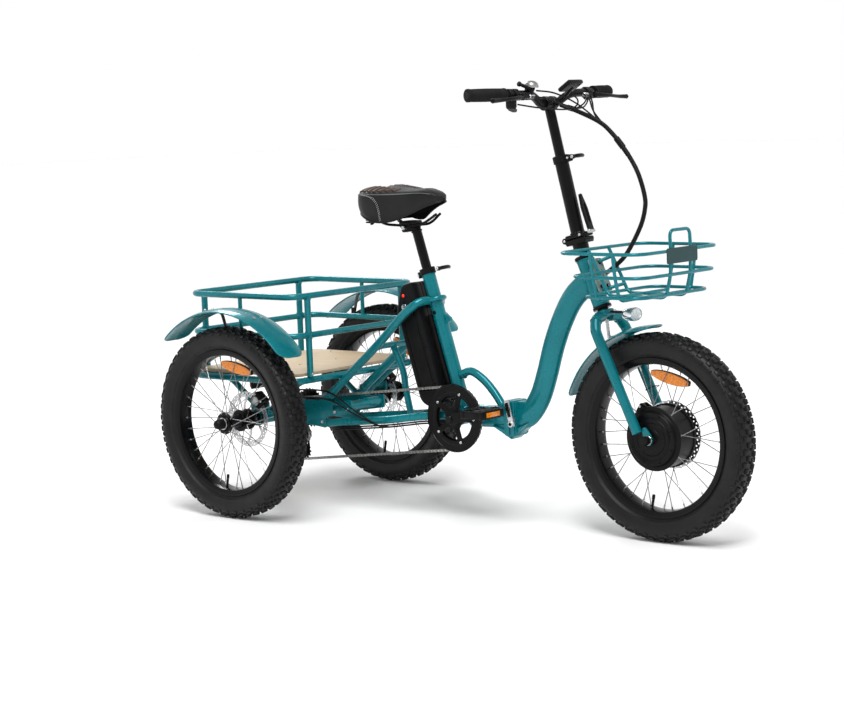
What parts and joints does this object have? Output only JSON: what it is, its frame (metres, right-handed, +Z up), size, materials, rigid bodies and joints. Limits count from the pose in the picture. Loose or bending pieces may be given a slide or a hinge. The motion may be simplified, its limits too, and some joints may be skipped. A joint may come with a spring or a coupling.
{
  "type": "adult tricycle",
  "caption": "Folding electric adult tricycle with a railed cargo deck over the rear axle, fat tyres and a wire basket on the head tube.",
  "frame": {"origin": "on the ground, midway between the front and rear axles, on the middle plane", "axes": "+X forward, +Y to the rider's left, +Z up"},
  "size_m": [1.78, 0.816, 1.2046],
  "materials": {
    "teal_paint": "gloss",
    "black_metal": "satin",
    "steel": "brushed",
    "black_plastic": "matte",
    "tyre_rubber": "matte",
    "grip_rubber": "matte",
    "saddle_vinyl": "satin",
    "plywood": "satin",
    "red_lens": "gloss",
    "lamp_lens": "gloss",
    "cable_black": "matte"
  },
  "bodies": {
    "rear_frame": {"seat_tube": "teal_paint", "main_tube": "teal_paint", "seatstay_right": "teal_paint", "seatstay_left": "teal_paint", "chainstay_right": "teal_paint", "chainstay_left": "teal_paint", "axle_carrier": "teal_paint", "deck_frame": "teal_paint", "cargo_deck": "plywood", "cargo_basket": "teal_paint", "fender_right": "teal_paint", "fender_left": "teal_paint", "brake_caliper_right": "black_metal", "brake_caliper_left": "black_metal", "tail_light": "red_lens", "chain": "steel", "derailleur": "black_metal"},
    "rear_wheel_right": {"tyre_right": "tyre_rubber", "rim_right": "black_metal", "hub_and_spokes_right": "black_metal", "brake_rotor_right": "steel", "axle_shaft_right": "black_metal"},
    "rear_wheel_left": {"tyre_left": "tyre_rubber", "rim_left": "black_metal", "hub_and_spokes_left": "black_metal", "brake_rotor_left": "steel", "axle_shaft_left": "black_metal"},
    "sprocket_block": {"cassette": "steel"},
    "crankset": {"chainring": "black_metal", "crank_arms": "black_metal"},
    "right_pedal": {"pedal_right": "black_plastic"},
    "left_pedal": {"pedal_left": "black_plastic"},
    "battery_pack": {"battery": "black_plastic"},
    "seat": {"seat_post": "black_metal", "saddle": "saddle_vinyl"},
    "seat_lever": {"seat_clamp_lever": "black_metal"},
    "front_frame": {"head_tube": "teal_paint", "down_tube": "teal_paint", "front_basket": "teal_paint", "cable_bundle_lower": "cable_black"},
    "frame_latch": {"fold_latch": "steel"},
    "fork_assembly": {"fork": "teal_paint", "headlight": "lamp_lens", "front_fender": "teal_paint", "brake_caliper_front": "black_metal", "stem_base": "black_metal"},
    "front_wheel": {"tyre_front": "tyre_rubber", "rim_front": "black_metal", "hub_motor": "black_metal", "brake_rotor_front": "steel"},
    "stem": {"stem_tube": "black_metal"},
    "stem_latch_lever": {"stem_latch": "black_metal"},
    "stem_lever": {"stem_clamp_lever": "black_metal"},
    "handlebar_unit": {"handlebar": "black_metal", "grip_right": "grip_rubber", "grip_left": "grip_rubber", "display": "black_plastic", "cable_bundle_upper": "cable_black"},
    "right_brake_lever": {"brake_lever_right": "black_metal"},
    "left_brake_lever": {"brake_lever_left": "black_metal"}
  },
  "joints": [
    {"name": "frame_fold", "type": "hinge", "parent": "rear_frame", "child": "front_frame", "pos_m": [0.1405, 0.034, 0.293], "axis": [0, 0, 1], "range_deg": [0, 65]},
    {"name": "frame_latch_lever", "type": "hinge", "parent": "front_frame", "child": "frame_latch", "pos_m": [0.1535, -0.04, 0.28], "axis": [0, 1, 0], "range_deg": [0, 100]},
    {"name": "steering", "type": "hinge", "parent": "front_frame", "child": "fork_assembly", "pos_m": [0.4122, 0, 0.669], "axis": [-0.3907, 0, 0.9205], "range_deg": [-45, 45]},
    {"name": "front_wheel_spin", "type": "hinge", "parent": "fork_assembly", "child": "front_wheel", "pos_m": [0.6165, 0, 0.27348], "axis": [0, 1, 0], "continuous": true},
    {"name": "stem_fold", "type": "hinge", "parent": "fork_assembly", "child": "stem", "pos_m": [0.33711, 0, 0.77677], "axis": [0, -1, 0], "range_deg": [0, 95]},
    {"name": "stem_latch_fold", "type": "hinge", "parent": "stem", "child": "stem_latch_lever", "pos_m": [0.41037, 0, 0.80535], "axis": [0, 1, 0], "range_deg": [0, 95]},
    {"name": "stem_clamp_open", "type": "hinge", "parent": "stem", "child": "stem_lever", "pos_m": [0.35738, 0, 0.99929], "axis": [0.2419, 0, -0.9703], "range_deg": [0, 95]},
    {"name": "bar_height", "type": "slide", "parent": "stem", "child": "handlebar_unit", "axis": [-0.2419, 0, 0.9703], "range_m": [-0.08, 0.01]},
    {"name": "brake_lever_right_pull", "type": "hinge", "parent": "handlebar_unit", "child": "right_brake_lever", "pos_m": [0.3195, -0.163, 1.158], "axis": [0, 0, -1], "range_deg": [0, 16], "stiffness_Nm_per_rad": 2},
    {"name": "brake_lever_left_pull", "type": "hinge", "parent": "handlebar_unit", "child": "left_brake_lever", "pos_m": [0.3195, 0.163, 1.158], "axis": [0, 0, 1], "range_deg": [0, 16], "stiffness_Nm_per_rad": 2},
    {"name": "rear_wheel_right_spin", "type": "hinge", "parent": "rear_frame", "child": "rear_wheel_right", "pos_m": [-0.6165, -0.34, 0.27348], "axis": [0, 1, 0], "continuous": true},
    {"name": "rear_wheel_left_spin", "type": "hinge", "parent": "rear_frame", "child": "rear_wheel_left", "pos_m": [-0.6165, 0.34, 0.27348], "axis": [0, 1, 0], "continuous": true},
    {"name": "crank_spin", "type": "hinge", "parent": "rear_frame", "child": "crankset", "pos_m": [-0.0322, 0, 0.286], "axis": [0, 1, 0], "continuous": true},
    {"name": "pedal_right_spin", "type": "hinge", "parent": "crankset", "child": "right_pedal", "pos_m": [0.13409, -0.138, 0.32134], "axis": [0, 1, 0], "continuous": true},
    {"name": "pedal_left_spin", "type": "hinge", "parent": "crankset", "child": "left_pedal", "pos_m": [-0.19849, 0.138, 0.25066], "axis": [0, 1, 0], "continuous": true},
    {"name": "sprocket_spin", "type": "hinge", "parent": "rear_frame", "child": "sprocket_block", "pos_m": [-0.6165, -0.048, 0.27348], "axis": [0, 1, 0], "continuous": true},
    {"name": "seat_height", "type": "slide", "parent": "rear_frame", "child": "seat", "axis": [-0.299, 0, 0.9542], "range_m": [-0.05, 0.08]},
    {"name": "seat_clamp_open", "type": "hinge", "parent": "rear_frame", "child": "seat_lever", "pos_m": [-0.11813, 0, 0.69397], "axis": [0.299, 0, -0.9542], "range_deg": [0, 120]},
    {"name": "battery_slide", "type": "slide", "parent": "rear_frame", "child": "battery_pack", "axis": [-0.299, 0, 0.9542], "range_m": [0, 0.1]}
  ],
  "couplings": [
    {"joint": "sprocket_spin", "follows": "crank_spin", "ratio": 3}
  ]
}
